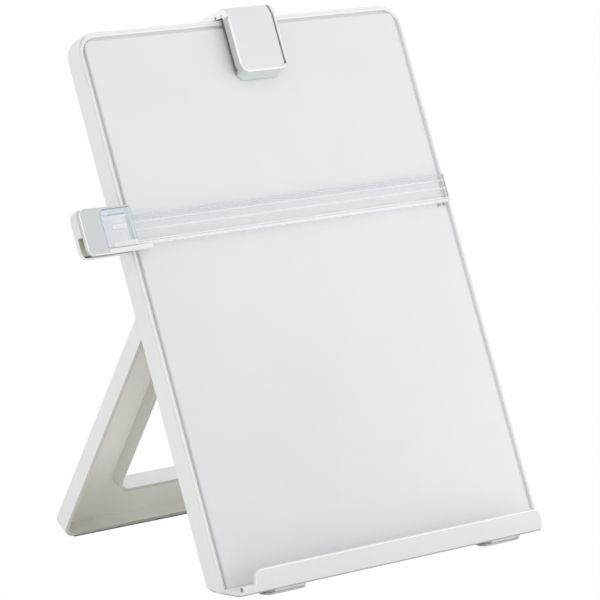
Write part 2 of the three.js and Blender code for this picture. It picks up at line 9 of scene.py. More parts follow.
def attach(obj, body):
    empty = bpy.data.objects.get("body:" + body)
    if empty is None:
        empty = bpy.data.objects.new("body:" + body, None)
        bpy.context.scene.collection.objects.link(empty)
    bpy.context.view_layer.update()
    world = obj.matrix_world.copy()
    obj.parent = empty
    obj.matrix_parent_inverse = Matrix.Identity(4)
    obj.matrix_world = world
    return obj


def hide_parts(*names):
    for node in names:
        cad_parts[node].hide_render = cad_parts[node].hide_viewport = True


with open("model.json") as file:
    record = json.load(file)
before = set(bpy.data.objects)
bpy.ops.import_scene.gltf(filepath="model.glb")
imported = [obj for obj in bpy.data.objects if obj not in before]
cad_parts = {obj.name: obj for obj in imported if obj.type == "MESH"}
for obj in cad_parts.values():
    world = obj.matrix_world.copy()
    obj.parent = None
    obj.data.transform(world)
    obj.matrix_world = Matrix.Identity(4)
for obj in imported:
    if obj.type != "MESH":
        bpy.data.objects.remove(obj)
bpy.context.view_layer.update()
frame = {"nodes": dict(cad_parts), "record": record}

# ---- the part's own dimensions, in millimetres ----
LEAN = math.radians(24.3)
LEG_TILT = math.radians(31.2)
HALF = 118.0             # half the board's width
HEIGHT = 322.0
DEPTH = 13.7
CORNER = 13.0
FACE_FOOT_Z = 5.2
LEG_FOOT_Y = 157.5
SHIFT = (16.8, -75.2979, 0.0)

MM = Matrix.Scale(0.001, 4)
BOARD = MM @ Matrix.Translation((SHIFT[0], SHIFT[1], FACE_FOOT_Z)) @ Matrix.Rotation(-LEAN, 4, "X")
LEG = MM @ Matrix.Translation((SHIFT[0], SHIFT[1] + LEG_FOOT_Y, 0)) @ Matrix.Rotation(LEG_TILT, 4, "X")
TABLE = MM @ Matrix.Translation(SHIFT)

# the camera: how far it is turned and raised, its distance in metres and the point it looks at
AZIMUTH, ELEVATION = math.radians(38.956), math.radians(11.368)
DISTANCE = 1.99902
TARGET = TABLE @ Vector((-14.472, 60.0, 144.868))

ARC_STEPS = 8            # straight pieces in a rounded corner of an outline
RIM_STEPS = 14           # and in each upper corner of the board
ROD_SEGMENTS = 24
SHARP_ANGLE = 40         # degrees; edges flatter than this are shaded as smooth


# ---- camera, light and floor ----
def make_camera():
    ahead = Vector((math.sin(AZIMUTH) * math.cos(ELEVATION), math.cos(AZIMUTH) * math.cos(ELEVATION),
                    -math.sin(ELEVATION)))
    data = bpy.data.cameras.new("camera")
    data.lens = 210
    data.sensor_width = 36
    data.clip_start = 0.05
    data.clip_end = 60
    camera = bpy.data.objects.new("camera", data)
    turn = ahead.to_track_quat("-Z", "Y").to_matrix().to_4x4()
    camera.matrix_world = Matrix.Translation(TARGET - ahead * DISTANCE) @ turn
    bpy.context.scene.collection.objects.link(camera)
    bpy.context.scene.camera = camera


def area_light(name, place, aim, size, power, tint):
    data = bpy.data.lights.new(name, "AREA")
    data.shape = "RECTANGLE"
    data.size, data.size_y = size
    data.energy = power
    data.color = tint
    light = bpy.data.objects.new(name, data)
    turn = (Vector(aim) - Vector(place)).to_track_quat("-Z", "Y").to_matrix().to_4x4()
    light.matrix_world = Matrix.Translation(place) @ turn
    bpy.context.scene.collection.objects.link(light)


def plane(name, size, z, material):
    bm = bmesh.new()
    bmesh.ops.create_grid(bm, x_segments=1, y_segments=1, size=size)
    mesh = bpy.data.meshes.new(name)
    bm.to_mesh(mesh)
    bm.free()
    obj = bpy.data.objects.new(name, mesh)
    obj.location.z = z
    mesh.materials.append(material)
    bpy.context.scene.collection.objects.link(obj)
    return obj


def make_stage():
    """White surroundings, a pale floor that only lights the object, a white sweep and one soft key light."""
    world = bpy.data.worlds.new("studio")
    world.use_nodes = True
    background = world.node_tree.nodes["Background"]
    background.inputs["Color"].default_value = (1, 1, 1, 1)
    background.inputs["Strength"].default_value = 1.0
    bpy.context.scene.world = world
    bpy.context.scene.view_settings.view_transform = "Standard"

    pale = bpy.data.materials.new("floor_pale")
    pale.use_nodes = True
    shader = pale.node_tree.nodes["Principled BSDF"]
    shader.inputs["Base Color"].default_value = (0.94, 0.94, 0.925, 1)
    shader.inputs["Roughness"].default_value = 0.9
    ground = plane("floor", 8, -0.0002, pale)
    ground.visible_camera = False

    glow = bpy.data.materials.new("backdrop_glow")
    glow.use_nodes = True
    nodes = glow.node_tree.nodes
    nodes.remove(nodes["Principled BSDF"])
    emission = nodes.new("ShaderNodeEmission")
    emission.inputs["Color"].default_value = (0.99, 0.99, 0.99, 1)
    glow.node_tree.links.new(emission.outputs[0], nodes["Material Output"].inputs["Surface"])
    sweep = plane("floor_white", 30, -0.0004, glow)
    sweep.visible_diffuse = False
    sweep.visible_glossy = False
    sweep.visible_transmission = False
    sweep.visible_shadow = False

    area_light("key", (0.55, -0.52, 0.24), (0.1, 0, 0.1), (0.4, 0.4), 0.62, (1, 0.99, 0.98))


# ---- shapes, all in millimetres until they are placed ----
def outline(corners):
    """Points of a closed outline from (a, b, radius) corners, anticlockwise."""
    points = []
    count = len(corners)
    for i, corner in enumerate(corners):
        here = Vector(corner[:2])
        radius = corner[2] if len(corner) > 2 else 0
        if radius <= 0:
            points.append(tuple(here))
            continue
        back = (Vector(corners[i - 1][:2]) - here).normalized()
        ahead = (Vector(corners[(i + 1) % count][:2]) - here).normalized()
        half = math.acos(max(-1, min(1, back.dot(ahead)))) / 2
        centre = here + (back + ahead).normalized() * (radius / math.sin(half))
        first = here + back * (radius / math.tan(half)) - centre
        last = here + ahead * (radius / math.tan(half)) - centre
        start = math.atan2(first.y, first.x)
        sweep = (math.atan2(last.y, last.x) - start + math.pi) % (2 * math.pi) - math.pi
        for k in range(ARC_STEPS + 1):
            angle = start + sweep * k / ARC_STEPS
            points.append((centre.x + radius * math.cos(angle), centre.y + radius * math.sin(angle)))
    return points


def rectangle(a0, b0, a1, b1, r=0):
    return outline([(a0, b0, r), (a1, b0, r), (a1, b1, r), (a0, b1, r)])


def extrude(points, lo, hi, along):
    """A prism of an outline: along x of (y, z) points, along y of (x, z), along z of (x, y)."""
    place = {
        "x": lambda a, b, t: (t, a, b),
        "y": lambda a, b, t: (a, t, b),
        "z": lambda a, b, t: (a, b, t),
    }[along]
    bm = bmesh.new()
    ends = [[bm.verts.new(place(a, b, t)) for a, b in points] for t in (lo, hi)]
    bm.faces.new(ends[0])
    bm.faces.new(ends[1])
    count = len(points)
    for i in range(count):
        j = (i + 1) % count
        bm.faces.new((ends[0][i], ends[0][j], ends[1][j], ends[1][i]))
    bmesh.ops.recalc_face_normals(bm, faces=bm.faces)
    return bm


def box(x0, y0, z0, x1, y1, z1):
    return extrude(rectangle(x0, y0, x1, y1), z0, z1, "z")


def turned(profile, segments, place):
    """A solid of revolution from (radius, height) points that start and end on the axis."""
    bm = bmesh.new()
    rings = []
    for r, h in profile:
        if r < 1e-6:
            rings.append([bm.verts.new(place @ Vector((0, 0, h)))])
            continue
        ring = []
        for k in range(segments):
            angle = 2 * math.pi * k / segments
            ring.append(bm.verts.new(place @ Vector((r * math.cos(angle), r * math.sin(angle), h))))
        rings.append(ring)
    for lower, upper in zip(rings, rings[1:]):
        for k in range(segments):
            j = (k + 1) % segments
            corners = (lower[k % len(lower)], lower[j % len(lower)],
                       upper[j % len(upper)], upper[k % len(upper)])
            unique = list(dict.fromkeys(corners))
            if len(unique) > 2:
                bm.faces.new(unique)
    bmesh.ops.recalc_face_normals(bm, faces=bm.faces)
    return bm


AXES = {
    "x": Matrix.Rotation(math.radians(90), 4, "Y"),
    "y": Matrix.Rotation(math.radians(-90), 4, "X"),
    "z": Matrix.Identity(4),
}


def rod(along, lo, hi, at, radius):
    """A cylinder along x, y or z from lo to hi; at is its centre in the other two, in X, Y, Z order."""
    centre = {"x": (lo, at[0], at[1]), "y": (at[0], lo, at[1]), "z": (at[0], at[1], lo)}[along]
    place = Matrix.Translation(centre) @ AXES[along]
    return turned([(0, 0), (radius, 0), (radius, hi - lo), (0, hi - lo)], ROD_SEGMENTS, place)


def scratch(bm):
    mesh = bpy.data.meshes.new("scratch")
    bm.to_mesh(mesh)
    bm.free()
    obj = bpy.data.objects.new("scratch", mesh)
    bpy.context.scene.collection.objects.link(obj)
    return obj


def boolean(first, second, operation):
    """Both meshes are used up; the result is a new bmesh."""
    a, b = scratch(first), scratch(second)
    modifier = a.modifiers.new("boolean", "BOOLEAN")
    modifier.operation = operation
    modifier.solver = "EXACT"
    modifier.object = b
    bpy.context.view_layer.update()
    result = bmesh.new()
    result.from_object(a, bpy.context.evaluated_depsgraph_get())
    for obj in (a, b):
        mesh = obj.data
        bpy.data.objects.remove(obj)
        bpy.data.meshes.remove(mesh)
    return result


def cut(first, *others):
    for other in others:
        first = boolean(first, other, "DIFFERENCE")
    return first


def join(first, *others):
    for other in others:
        first = boolean(first, other, "UNION")
    return first


def common(first, second):
    return boolean(first, second, "INTERSECT")


def tidy(bm, merge=0.002, angle=0.6):
    """Merges doubled points and removes edges between faces that lie in one plane."""
    bmesh.ops.remove_doubles(bm, verts=bm.verts, dist=merge)
    bmesh.ops.dissolve_limit(bm, angle_limit=math.radians(angle), verts=bm.verts, edges=bm.edges)
    return bm


def soften(bm, width, segments=3, angle=32, pick=None, clamp=True):
    """Rounds the edges sharper than angle, or only those that pick(edge) chooses.

    clamp narrows every rounding to suit the shortest edge, so a wide one on a few edges goes without it.
    """
    tidy(bm)
    edges = [e for e in bm.edges if len(e.link_faces) == 2 and e.calc_face_angle(0) > math.radians(angle)]
    if pick:
        edges = [e for e in edges if pick(e)]
    bmesh.ops.bevel(bm, geom=edges, offset=width, offset_type="OFFSET", segments=segments, profile=0.5,
                    affect="EDGES", clamp_overlap=clamp, miter_outer="ARC")
    return bm


def from_cad(node, back):
    """A copy of a CAD node's mesh in millimetres, in the frame that back leads to."""
    bm = bmesh.new()
    bm.from_mesh(frame["nodes"][node].data)
    bmesh.ops.transform(bm, matrix=back.inverted(), verts=bm.verts)
    return tidy(bm, 0.01, 1.0)


def slit(bm, axis, *places):
    """Splits the faces that cross these planes, so that a zone of another finish can end there."""
    normal = Vector([1 if axis == name else 0 for name in "xyz"])
    for at in places:
        everything = bm.verts[:] + bm.edges[:] + bm.faces[:]
        bmesh.ops.bisect_plane(bm, geom=everything, plane_co=normal * at, plane_no=normal)
    return bm


def place(name, bm, where, body, slot, materials, nodes, zone=None):
    """Makes the finished piece: into metres and the row's frame, riding on its body.

    zone(centre, normal), both still in the piece's own frame, picks one of the materials for each face.
    """
    if zone:
        bmesh.ops.recalc_face_normals(bm, faces=bm.faces)
        for face in bm.faces:
            face.material_index = materials.index(zone(face.calc_center_median(), face.normal))
    bmesh.ops.transform(bm, matrix=where, verts=bm.verts)
    bmesh.ops.recalc_face_normals(bm, faces=bm.faces)
    mesh = bpy.data.meshes.new(name)
    bm.to_mesh(mesh)
    bm.free()
    obj = bpy.data.objects.new(name, mesh)
    bpy.context.scene.collection.objects.link(obj)
    for material in materials:
        mesh.materials.append(material)
    for polygon in mesh.polygons:
        polygon.use_smooth = True
    mesh.set_sharp_from_angle(angle=math.radians(SHARP_ANGLE))
    modifier = obj.modifiers.new("weighted_normal", "WEIGHTED_NORMAL")
    modifier.keep_sharp = True
    modifier.weight = 80
    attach(obj, body)
    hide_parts(*nodes)


# ---- materials ----
def new_material(name):
    material = bpy.data.materials.new(name)
    material.use_nodes = True
    nodes, links = material.node_tree.nodes, material.node_tree.links
    return material, nodes, links, nodes["Principled BSDF"]


def noise(nodes, links, coordinates, scale, detail=3, rough=0.6):
    texture = nodes.new("ShaderNodeTexNoise")
    texture.inputs["Scale"].default_value = scale
    texture.inputs["Detail"].default_value = detail
    texture.inputs["Roughness"].default_value = rough
    links.new(coordinates.outputs["Object"], texture.inputs["Vector"])
    return texture


def spread(nodes, links, source, low, high):
    """Maps a noise value, mostly 0.3 to 0.7, onto low to high."""
    mapping = nodes.new("ShaderNodeMapRange")
    mapping.inputs["From Min"].default_value = 0.3
    mapping.inputs["From Max"].default_value = 0.7
    mapping.inputs["To Min"].default_value = low
    mapping.inputs["To Max"].default_value = high
    links.new(source, mapping.inputs["Value"])
    return mapping.outputs["Result"]


def tinted(nodes, links, factor, dark, light):
    mix = nodes.new("ShaderNodeMix")
    mix.data_type = "RGBA"
    mix.inputs["A"].default_value = (*dark, 1)
    mix.inputs["B"].default_value = (*light, 1)
    links.new(factor, mix.inputs["Factor"])
    return mix.outputs["Result"]


def shaded_corner(material, corner, near, far, shade):
    """Paints shade onto a plastic, softly darker towards a corner; near and far are distances in metres."""
    nodes, links = material.node_tree.nodes, material.node_tree.links
    shader = nodes["Principled BSDF"]
    unshaded = shader.inputs["Base Color"].links[0].from_socket
    coordinates = nodes.new("ShaderNodeTexCoord")
    distance = nodes.new("ShaderNodeVectorMath")
    distance.operation = "DISTANCE"
    distance.inputs[1].default_value = corner
    links.new(coordinates.outputs["Object"], distance.inputs[0])
    fade = nodes.new("ShaderNodeMapRange")
    fade.interpolation_type = "SMOOTHSTEP"
    fade.inputs["From Min"].default_value = near
    fade.inputs["From Max"].default_value = far
    fade.inputs["To Min"].default_value = 1.0
    fade.inputs["To Max"].default_value = 0.0
    links.new(distance.outputs["Value"], fade.inputs["Value"])
    mix = nodes.new("ShaderNodeMix")
    mix.data_type = "RGBA"
    mix.blend_type = "MULTIPLY"
    links.new(fade.outputs["Result"], mix.inputs["Factor"])
    links.new(unshaded, mix.inputs["A"])
    mix.inputs["B"].default_value = (*shade, 1)
    links.new(mix.outputs["Result"], shader.inputs["Base Color"])


def scuffed(nodes, links, coordinates, polish):
    """Adds sparse rubbed streaks, where the surface has been handled, to a roughness value."""
    stretch = nodes.new("ShaderNodeMapping")
    stretch.inputs["Scale"].default_value = (30, 240, 90)
    stretch.inputs["Rotation"].default_value = (0.3, 0.5, 0.2)
    links.new(coordinates.outputs["Object"], stretch.inputs["Vector"])
    streaks = nodes.new("ShaderNodeTexNoise")
    streaks.inputs["Scale"].default_value = 1
    streaks.inputs["Detail"].default_value = 3
    links.new(stretch.outputs["Vector"], streaks.inputs["Vector"])
    sparse = nodes.new("ShaderNodeMapRange")
    sparse.inputs["From Min"].default_value = 0.58
    sparse.inputs["From Max"].default_value = 0.72
    sparse.inputs["To Max"].default_value = -0.12
    links.new(streaks.outputs["Fac"], sparse.inputs["Value"])
    total = nodes.new("ShaderNodeMath")
    total.operation = "ADD"
    links.new(polish, total.inputs[0])
    links.new(sparse.outputs["Result"], total.inputs[1])
    return total.outputs[0]


def moulded(name, colour, roughness=0.5, grain=2600.0, depth=0.05, cloud=0.012):
    """Moulded plastic: a fine spark-eroded grain, faint clouding, and softer sheen where it is smooth."""
    material, nodes, links, shader = new_material(name)
    coordinates = nodes.new("ShaderNodeTexCoord")
    clouds = noise(nodes, links, coordinates, 14, 4)
    fine = noise(nodes, links, coordinates, grain, 2, 0.5)
    medium = noise(nodes, links, coordinates, grain * 0.21, 2, 0.5)
    dark = tuple(max(0, c - cloud) for c in colour)
    light = tuple(min(1, c + cloud) for c in colour)
    cloud_value = spread(nodes, links, clouds.outputs["Fac"], 0, 1)
    links.new(tinted(nodes, links, cloud_value, dark, light), shader.inputs["Base Color"])
    polish = spread(nodes, links, medium.outputs["Fac"], roughness - 0.05, roughness + 0.07)
    links.new(scuffed(nodes, links, coordinates, polish), shader.inputs["Roughness"])
    total = nodes.new("ShaderNodeMath")
    total.operation = "MULTIPLY_ADD"
    total.inputs[1].default_value = 0.5
    links.new(medium.outputs["Fac"], total.inputs[0])
    links.new(fine.outputs["Fac"], total.inputs[2])
    bump = nodes.new("ShaderNodeBump")
    bump.inputs["Strength"].default_value = depth
    bump.inputs["Distance"].default_value = 0.0002
    links.new(total.outputs[0], bump.inputs["Height"])
    links.new(bump.outputs["Normal"], shader.inputs["Normal"])
    shader.inputs["Specular IOR Level"].default_value = 0.4
    return material


def clear(name, colour, opacity, roughness=0.1):
    """Clear plastic seen as a thin layer with a soft polish; opacity is how much it hides what is behind."""
    material, nodes, links, shader = new_material(name)
    coordinates = nodes.new("ShaderNodeTexCoord")
    swirl = noise(nodes, links, coordinates, 60, 2)
    haze = noise(nodes, links, coordinates, 900, 2)
    dark = tuple(c * 0.96 for c in colour)
    links.new(tinted(nodes, links, spread(nodes, links, swirl.outputs["Fac"], 0, 1), dark, colour),
              shader.inputs["Base Color"])
    links.new(spread(nodes, links, haze.outputs["Fac"], roughness, roughness * 2.2),
              shader.inputs["Roughness"])
    bump = nodes.new("ShaderNodeBump")
    bump.inputs["Strength"].default_value = 0.05
    bump.inputs["Distance"].default_value = 0.0004
    links.new(swirl.outputs["Fac"], bump.inputs["Height"])
    links.new(bump.outputs["Normal"], shader.inputs["Normal"])
    shader.inputs["Alpha"].default_value = opacity
    shader.inputs["IOR"].default_value = 1.49
    return material


def rubber(name, colour):
    return moulded(name, colour, roughness=0.75, grain=1500, depth=0.16, cloud=0.006)


def steel(name, colour):
    """Drawn steel: fine lines along the length and an uneven polish."""
    material, nodes, links, shader = new_material(name)
    coordinates = nodes.new("ShaderNodeTexCoord")
    stretch = nodes.new("ShaderNodeMapping")
    stretch.inputs["Scale"].default_value = (60, 2200, 2200)
    links.new(coordinates.outputs["Object"], stretch.inputs["Vector"])
    lines = nodes.new("ShaderNodeTexNoise")
    lines.inputs["Scale"].default_value = 1
    lines.inputs["Detail"].default_value = 2
    links.new(stretch.outputs["Vector"], lines.inputs["Vector"])
    spots = noise(nodes, links, coordinates, 320, 3)
    dark = tuple(c * 0.9 for c in colour)
    links.new(tinted(nodes, links, spread(nodes, links, spots.outputs["Fac"], 0, 1), dark, colour),
              shader.inputs["Base Color"])
    links.new(spread(nodes, links, lines.outputs["Fac"], 0.24, 0.38), shader.inputs["Roughness"])
    shader.inputs["Metallic"].default_value = 1.0
    return material


SHELL = moulded("shell_plastic", (0.785, 0.792, 0.795))
PANEL = moulded("face_plastic", (0.750, 0.763, 0.780), roughness=0.55, grain=3000, depth=0.07)
# painted shade on the board's right rim
SHELL_SHADE = moulded("shell_shade_plastic", (0.66, 0.67, 0.675))
# painted shade in the clip's groove
CLIP_GROOVE_SHADE = moulded("clip_groove_shade", (0.46, 0.465, 0.46), roughness=0.6)
# painted highlights on rounded edges and the lip's top edge, and painted light on the leg's window sill and
# the clip lever's side
PAINTED_LIGHT = moulded("painted_light_plastic", (0.955, 0.96, 0.955), roughness=0.4)
# painted light inside the leg's tray, which is smoother than the shell
LEG_INSIDE_LIT = moulded("leg_inside_lit_plastic", (0.955, 0.95, 0.895), roughness=0.4, depth=0.03)
# painted shade on the leg's rim and the window's left side
LEG_EDGE_SHADE = moulded("leg_edge_shade", (0.70, 0.695, 0.65), roughness=0.45)
# painted light on the rim along the board's top
RIM_LIT = moulded("rim_lit_plastic", (0.87, 0.877, 0.88))
# painted shade in the board's left groove and on the face sheet's left edge
GROOVE_SHADE = moulded("board_groove_shade", (0.665, 0.675, 0.675), roughness=0.6)
CAP_GREY = moulded("cap_plastic", (0.585, 0.615, 0.625), roughness=0.42)
LEDGE = moulded("ledge_plastic", (0.735, 0.745, 0.755))
CURB = moulded("curb_plastic", (0.84, 0.84, 0.77))
# painted shade on faces that turn downwards
UNDER_SHADE = moulded("underside_shade", (0.47, 0.48, 0.48), roughness=0.6)
CLIP_FACE = moulded("clip_plastic", (0.735, 0.748, 0.765), roughness=0.42, grain=2200, depth=0.06)
# painted shade on the clip's left side
CLIP_SIDE_SHADE = moulded("clip_side_shade", (0.55, 0.565, 0.56), roughness=0.4)
# painted shade under the clip's tip
CLIP_UNDERSIDE_SHADE = moulded("clip_underside_shade", (0.63, 0.695, 0.67), roughness=0.4)
# painted dark shade inside the clip, on its strips and in the slit under the guide's cap
DARK_SHADE = moulded("painted_dark_shade", (0.15, 0.15, 0.125), roughness=0.8, depth=0.1)
# painted shade on the curb's cut end
CURB_END_SHADE = moulded("curb_end_shade", (0.27, 0.27, 0.235), roughness=0.7, depth=0.1)
# painted shade on the slider's upper part
SLIDER_SHADE = moulded("slider_shade", (0.73, 0.737, 0.74), roughness=0.5, depth=0.1)
# painted olive shade in the slider's front notch
OLIVE_SHADE = moulded("olive_shade", (0.56, 0.56, 0.43), roughness=0.7, depth=0.1)
FOOT = moulded("foot_plastic", (0.89, 0.93, 0.91), roughness=0.25, depth=0.02)
FOOT_SHADER = FOOT.node_tree.nodes["Principled BSDF"]
FOOT_SHADER.inputs["Subsurface Weight"].default_value = 0.25
FOOT_SHADER.inputs["Subsurface Radius"].default_value = (0.002, 0.002, 0.002)
RUBBER = rubber("rubber_dark", (0.10, 0.105, 0.10))
FOOT_END = rubber("foot_dark_end", (0.42, 0.44, 0.43))
TREAD = rubber("rubber_grey", (0.68, 0.70, 0.69))
STEEL = steel("bright_steel", (0.62, 0.63, 0.65))
CLEAR_BODY = clear("clear_plastic", (0.90, 0.94, 0.99), 0.05)
# painted highlight on the bar's lower lip and underside, the block's rib and its foot
CLEAR_HIGHLIGHT = clear("clear_lit_edge", (0.90, 0.92, 0.95), 0.72, 0.2)
# painted shade on the bar's upper lip and top
CLEAR_LIP_SHADE = clear("clear_shaded_edge", (0.66, 0.70, 0.76), 0.42, 0.2)
# painted shade on the bar's end and its feet
CLEAR_END_SHADE = clear("clear_end_shade", (0.45, 0.46, 0.51), 1.0, 0.2)
# painted light in the block's left band
CLEAR_PALE_LIGHT = clear("clear_pale_lit_edge", (0.87, 0.89, 0.985), 0.55, 0.2)
# painted shade in the block's right band
CLEAR_SHADE = clear("clear_shade", (0.80, 0.86, 0.90), 0.4)
# painted reflection of the sky at the block's top
CLEAR_SKY_REFLECTION = clear("clear_sky_reflection", (0.76, 0.88, 0.96), 0.5)
# painted dark lines of shade in the block
CLEAR_SHADE_LINE = clear("clear_shade_line", (0.42, 0.52, 0.61), 0.6)
# painted highlights on the bar's ridges
CLEAR_RIDGE_HIGHLIGHT = clear("clear_ridge_highlight", (0.90, 0.93, 0.96), 0.42, 0.2)
CLEAR_BLOCK = clear("clear_block", (0.95, 0.975, 1.0), 0.5)

# painted shade in the leg's left corner, and down the left of the face
shaded_corner(LEG_INSIDE_LIT, (-0.088, 0.06, 0.0), 0.015, 0.062, (0.76, 0.75, 0.70))
shaded_corner(PANEL, (-0.1, -0.07, 0.0), 0.03, 0.26, (0.93, 0.935, 0.94))

# the CAD pieces that stay as they are take these
BY_SLOT = {
    "steel": STEEL,
    "rubber": RUBBER,
    "shell": SHELL,
    "panel": PANEL,
    "clear": CLEAR_BODY,
    "foot": FOOT,
}


# ---- the board ----
LEDGE_FRONT, LEDGE_T = 15.3, 2.5
UNDER_FRONT = 4.2        # height of the base's underside at its front edge
UNDER_SLOPE = 0.1        # and how fast it falls towards the back
TOP_EXTRA = 1.2          # the rim is this much wider along the top
RIM = 2.4                # and this wide along the sides
PANEL_CORNER = 4.8       # tighter than the rim, so the groove closes up round the corners
SIDE_FOOT = 15.0         # the side walls' lowest stretch, with painted shade on its downward faces, ends here
SIDE_HEEL = 7.0          # rounding of the side walls' lower rear corner


def underside(y):
    """Height of the base's underside at a distance y behind the face's foot."""
    return UNDER_FRONT - UNDER_SLOPE * (y + LEDGE_FRONT)


def base_u(depth, lift=0.0):
    """Where the base's underside, raised by lift, cuts the plane at this depth behind the face."""
    c, s = math.cos(LEAN), math.sin(LEAN)
    # y = depth c + u s and z = -depth s + u c + FACE_FOOT_Z meet z = underside(y) + lift
    return (underside(0) + lift - FACE_FOOT_Z + depth * s - UNDER_SLOPE * depth * c) / (c + UNDER_SLOPE * s)


def board_ring(inset, depth, low, corner=CORNER, raised=0.0):
    """An open run up the left side, over the top and down the right side."""
    half, r = HALF - inset, max(corner - inset, 1.0)
    top = HEIGHT - inset - TOP_EXTRA * min(1, inset / RIM) + raised
    points = [(-half, depth, low)]
    for k in range(RIM_STEPS + 1):
        angle = math.pi - (math.pi / 2) * k / RIM_STEPS
        points.append((-half + r + r * math.cos(angle), depth, top - r + r * math.sin(angle)))
    for k in range(RIM_STEPS + 1):
        angle = math.pi / 2 - (math.pi / 2) * k / RIM_STEPS
        points.append((half - r + r * math.cos(angle), depth, top - r + r * math.sin(angle)))
    points.append((half, depth, low))
    return points


def shell_of_rings(rings):
    """Skins a run of open rings, closes the first and the last, and caps both ends."""
    bm = bmesh.new()
    rows = [[bm.verts.new(p) for p in ring] for ring in rings]
    for a, b in zip(rows, rows[1:]):
        for i in range(len(a) - 1):
            bm.faces.new((a[i], a[i + 1], b[i + 1], b[i]))
    bm.faces.new(rows[0])
    bm.faces.new(rows[-1])
    bm.faces.new([row[0] for row in rows])
    bm.faces.new([row[-1] for row in rows])
    bm.faces.new((rows[0][0], rows[0][-1], rows[-1][-1], rows[-1][0]))
    bmesh.ops.recalc_face_normals(bm, faces=bm.faces)
    return bm


def arc_points(centre, radius, start, end, steps):
    """Points of an arc between two angles in degrees."""
    out = []
    for k in range(steps + 1):
        angle = math.radians(start + (end - start) * k / steps)
        out.append((centre[0] + radius * math.cos(angle), centre[1] + radius * math.sin(angle)))
    return out


def foot_of_side(depth):
    """The side wall's lower edge: along the base, then round its rear corner."""
    start = DEPTH - SIDE_HEEL
    if depth <= start:
        return base_u(depth)
    slope = (base_u(DEPTH) - base_u(0)) / DEPTH
    t = (depth - start) / SIDE_HEEL
    rise = SIDE_HEEL * (1 - math.sqrt(max(0.0, 1 - t * t)))
    return base_u(start) + slope * (depth - start) * (1 - t) + rise


def board_moulding():
    """Rim, groove, side walls and web in one moulding, as a section of (inset, depth) points."""
    path = [(7.0, 1.8), (RIM, 1.8), (2.1, 1.6), (2.1, 0.6)]
    path += arc_points((1.5, 0.6), 0.6, 0, -90, 4)[1:]
    path += [(0.75, 0.0)]
    path += arc_points((0.75, 0.45), 0.45, -90, -150, 3)[1:]
    # the parting line, then the outer wall, closer together where its foot curves
    path += [(0.5, 0.6), (0.5, 0.9), (0.08, 1.05), (0.0, 1.25)]
    path += [(0.0, d) for d in (3.5, 6.0, 8.0, 9.4, 10.6, 11.6, 12.3)]
    path += arc_points((0.9, DEPTH - 0.9), 0.9, 180, 90, 4)
    path += arc_points((2.5, DEPTH - 0.5), 0.5, 90, 0, 3)
    path += [(3.0, 9.0), (3.0, 3.8)]
    path += arc_points((3.8, 3.8), 0.8, 180, 270, 3)[1:]
    rings = [board_ring(inset, depth, foot_of_side(depth) + 0.12) for inset, depth in path]

    def lower_edge(edge):
        return all(abs(v.co.x) > HALF - 0.05 and v.co.z < 20 for v in edge.verts)

    return soften(shell_of_rings(rings), 1.1, pick=lower_edge, clamp=False)


def rim_zone(at, facing):
    """Painted shade on the lower edge, the left groove and the right rim; painted light on the rim along the
    top.
    """
    if facing.z < -0.2 and at.z < SIDE_FOOT:
        return UNDER_SHADE
    rim = facing.y < -0.6 and at.y < 0.4
    if rim and at.z > HEIGHT - 3:
        return RIM_LIT
    if rim and at.x > HALF - 3 and at.z > SIDE_FOOT:
        return SHELL_SHADE
    in_groove = 0.3 < at.y < 2 and at.z > SIDE_FOOT and 2 - HALF < at.x < 8 - HALF
    return GROOVE_SHADE if in_groove else SHELL


def sheet_zone(at, facing):
    """The sheet's left edge takes the groove's painted shade."""
    return GROOVE_SHADE if facing.x < -0.45 and at.y < 1.7 else PANEL


def face_sheet():
    """The inset panel, with a soft edge into the groove."""
    path = [(4.6, 1.6), (4.12, 1.55), (4.1, 1.3)]
    path += arc_points((5.4, 1.3), 1.3, 180, 270, 6)[1:]
    low = base_u(0, LEDGE_T + 0.1)
    rings = [board_ring(inset, depth, low, PANEL_CORNER + inset, raised=0.65) for inset, depth in path]
    return shell_of_rings(rings)


place("board_moulding", board_moulding(), BOARD, "board", "shell",
      [SHELL, UNDER_SHADE, SHELL_SHADE, RIM_LIT, GROOVE_SHADE], ["board_frame"], rim_zone)
place("face_sheet", face_sheet(), BOARD, "board", "panel", [PANEL, GROOVE_SHADE], ["face_panel"], sheet_zone)


# ---- the ledge ----
LIP_T, LIP_TOP, LIP_HALF = 2.4, 17.6, 106.0
CURB_END, CURB_TOP = -115.0, 9.0
LEDGE_REACH = 30.0       # the plate's length each way from the face's foot, before its outline is cut
LEDGE_SCREW_X, LEDGE_SCREW_Y, LEDGE_SCREW_R = 60, 1.2, 0.95


